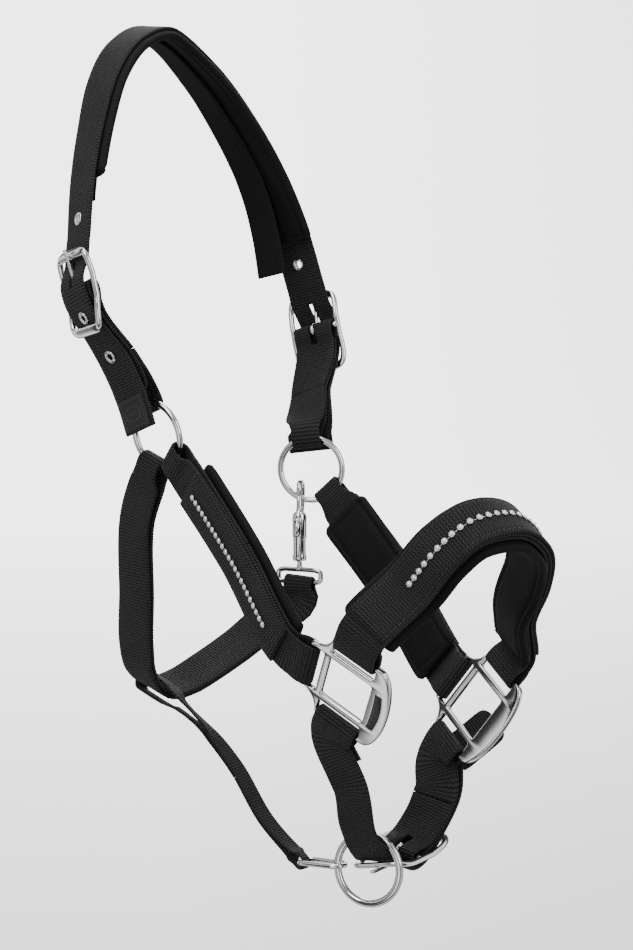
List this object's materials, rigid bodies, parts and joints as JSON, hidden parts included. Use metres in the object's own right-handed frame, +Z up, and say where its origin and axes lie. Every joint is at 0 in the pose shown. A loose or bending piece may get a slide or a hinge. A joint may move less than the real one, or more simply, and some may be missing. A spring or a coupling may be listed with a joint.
{
  "type": "headcollar",
  "caption": "Padded webbing headcollar for a horse, with crown and chin buckles, side squares, crystal trim, lead ring and a throat snap hook.",
  "frame": {"origin": "middle of the crown pad's underside, where the headcollar rests on the poll", "axes": "+Z up, -Y towards the nose, +X towards the horse's left"},
  "size_m": [0.2254, 0.3377, 0.5468],
  "materials": {
    "webbing": "ribbed black nylon webbing, matt with a faint sheen",
    "padding": "smooth black padded fabric",
    "patch": "moulded black rubber, satin",
    "plated": "bright plated casting and wire",
    "crystal": "faceted clear stones in plated cups"
  },
  "bodies": {
    "straps": {"right_crown_eyelet_1": "plated", "right_crown_eyelet_2": "plated", "right_crown_eyelet_3": "plated", "left_crown_eyelet_1": "plated", "left_crown_eyelet_2": "plated", "left_crown_eyelet_3": "plated", "crown_strap": "webbing", "crown_pad": "padding", "crown_lining": "padding", "right_billet": "webbing", "right_strap_patch": "patch", "right_crown_buckle": "plated", "right_side_square": "plated", "right_cheek_strap": "webbing", "right_cheek_overlay": "webbing", "right_cheek_pad": "padding", "right_cheek_chain": "crystal", "left_billet": "webbing", "left_strap_patch": "patch", "left_crown_buckle": "plated", "left_side_square": "plated", "left_cheek_strap": "webbing", "left_cheek_overlay": "webbing", "left_cheek_pad": "padding", "left_cheek_chain": "crystal", "nose_strap": "webbing", "nose_overlay": "webbing", "nose_pad": "padding", "nose_chain": "crystal", "chin_buckle": "plated", "chin_eyelet_1": "plated", "chin_eyelet_2": "plated", "chin_strap": "webbing", "chin_billet": "webbing", "connector_strap": "webbing", "throat_strap": "webbing", "snap_eye": "plated"},
    "right_tongue": {"right_crown_tongue": "plated"},
    "left_tongue": {"left_crown_tongue": "plated"},
    "chin_tongue_body": {"chin_tongue": "plated"},
    "right_ring": {"right_cheek_ring": "plated"},
    "left_ring": {"left_cheek_ring": "plated"},
    "lead_ring": {"chin_ring": "plated"},
    "link": {"oval_link": "plated"},
    "snap": {"snap_body": "plated", "snap_spring": "plated"},
    "bolt": {"snap_bolt": "plated"}
  },
  "joints": [
    {"name": "right_tongue_lift", "type": "hinge", "parent": "straps", "child": "right_tongue", "pos_m": [-0.102, -0.04, -0.1617], "axis": [-0.2065, -0.9431, 0.2607], "range_deg": [0, 6]},
    {"name": "left_tongue_lift", "type": "hinge", "parent": "straps", "child": "left_tongue", "pos_m": [0.102, -0.04, -0.1909], "axis": [-0.2065, 0.9431, -0.2607], "range_deg": [0, 6]},
    {"name": "chin_tongue_lift", "type": "hinge", "parent": "straps", "child": "chin_tongue_body", "pos_m": [0.012, -0.2055, -0.5066], "axis": [0.0418, -0.9805, -0.1919], "range_deg": [0, 5]},
    {"name": "right_ring_spin", "type": "hinge", "parent": "straps", "child": "right_ring", "pos_m": [-0.068, -0.0705, -0.252], "axis": [-0.9854, 0, -0.1701], "continuous": true},
    {"name": "left_ring_spin", "type": "hinge", "parent": "straps", "child": "left_ring", "pos_m": [0.068, -0.0705, -0.2812], "axis": [0.8211, 0.5708, 0], "continuous": true},
    {"name": "lead_ring_spin", "type": "hinge", "parent": "straps", "child": "lead_ring", "pos_m": [-0.017, -0.2055, -0.5136], "axis": [-0.9624, -0.2671, 0.05], "continuous": true},
    {"name": "link_roll", "type": "hinge", "parent": "straps", "child": "link", "pos_m": [-0.02272, -0.18488, -0.5136], "axis": [-0.2018, 0.9789, -0.0303], "range_deg": [-12, 2]},
    {"name": "snap_swivel", "type": "hinge", "parent": "straps", "child": "snap", "pos_m": [0.06094, -0.06666, -0.3406], "axis": [0, 0, 1], "range_deg": [-10, 10]},
    {"name": "snap_bolt_pull", "type": "slide", "parent": "snap", "child": "bolt", "axis": [0, 0, -1], "range_m": [0, 0.007], "stiffness_N_per_m": 200, "springref_m": -0.004, "deforming": ["snap_spring"]}
  ]
}
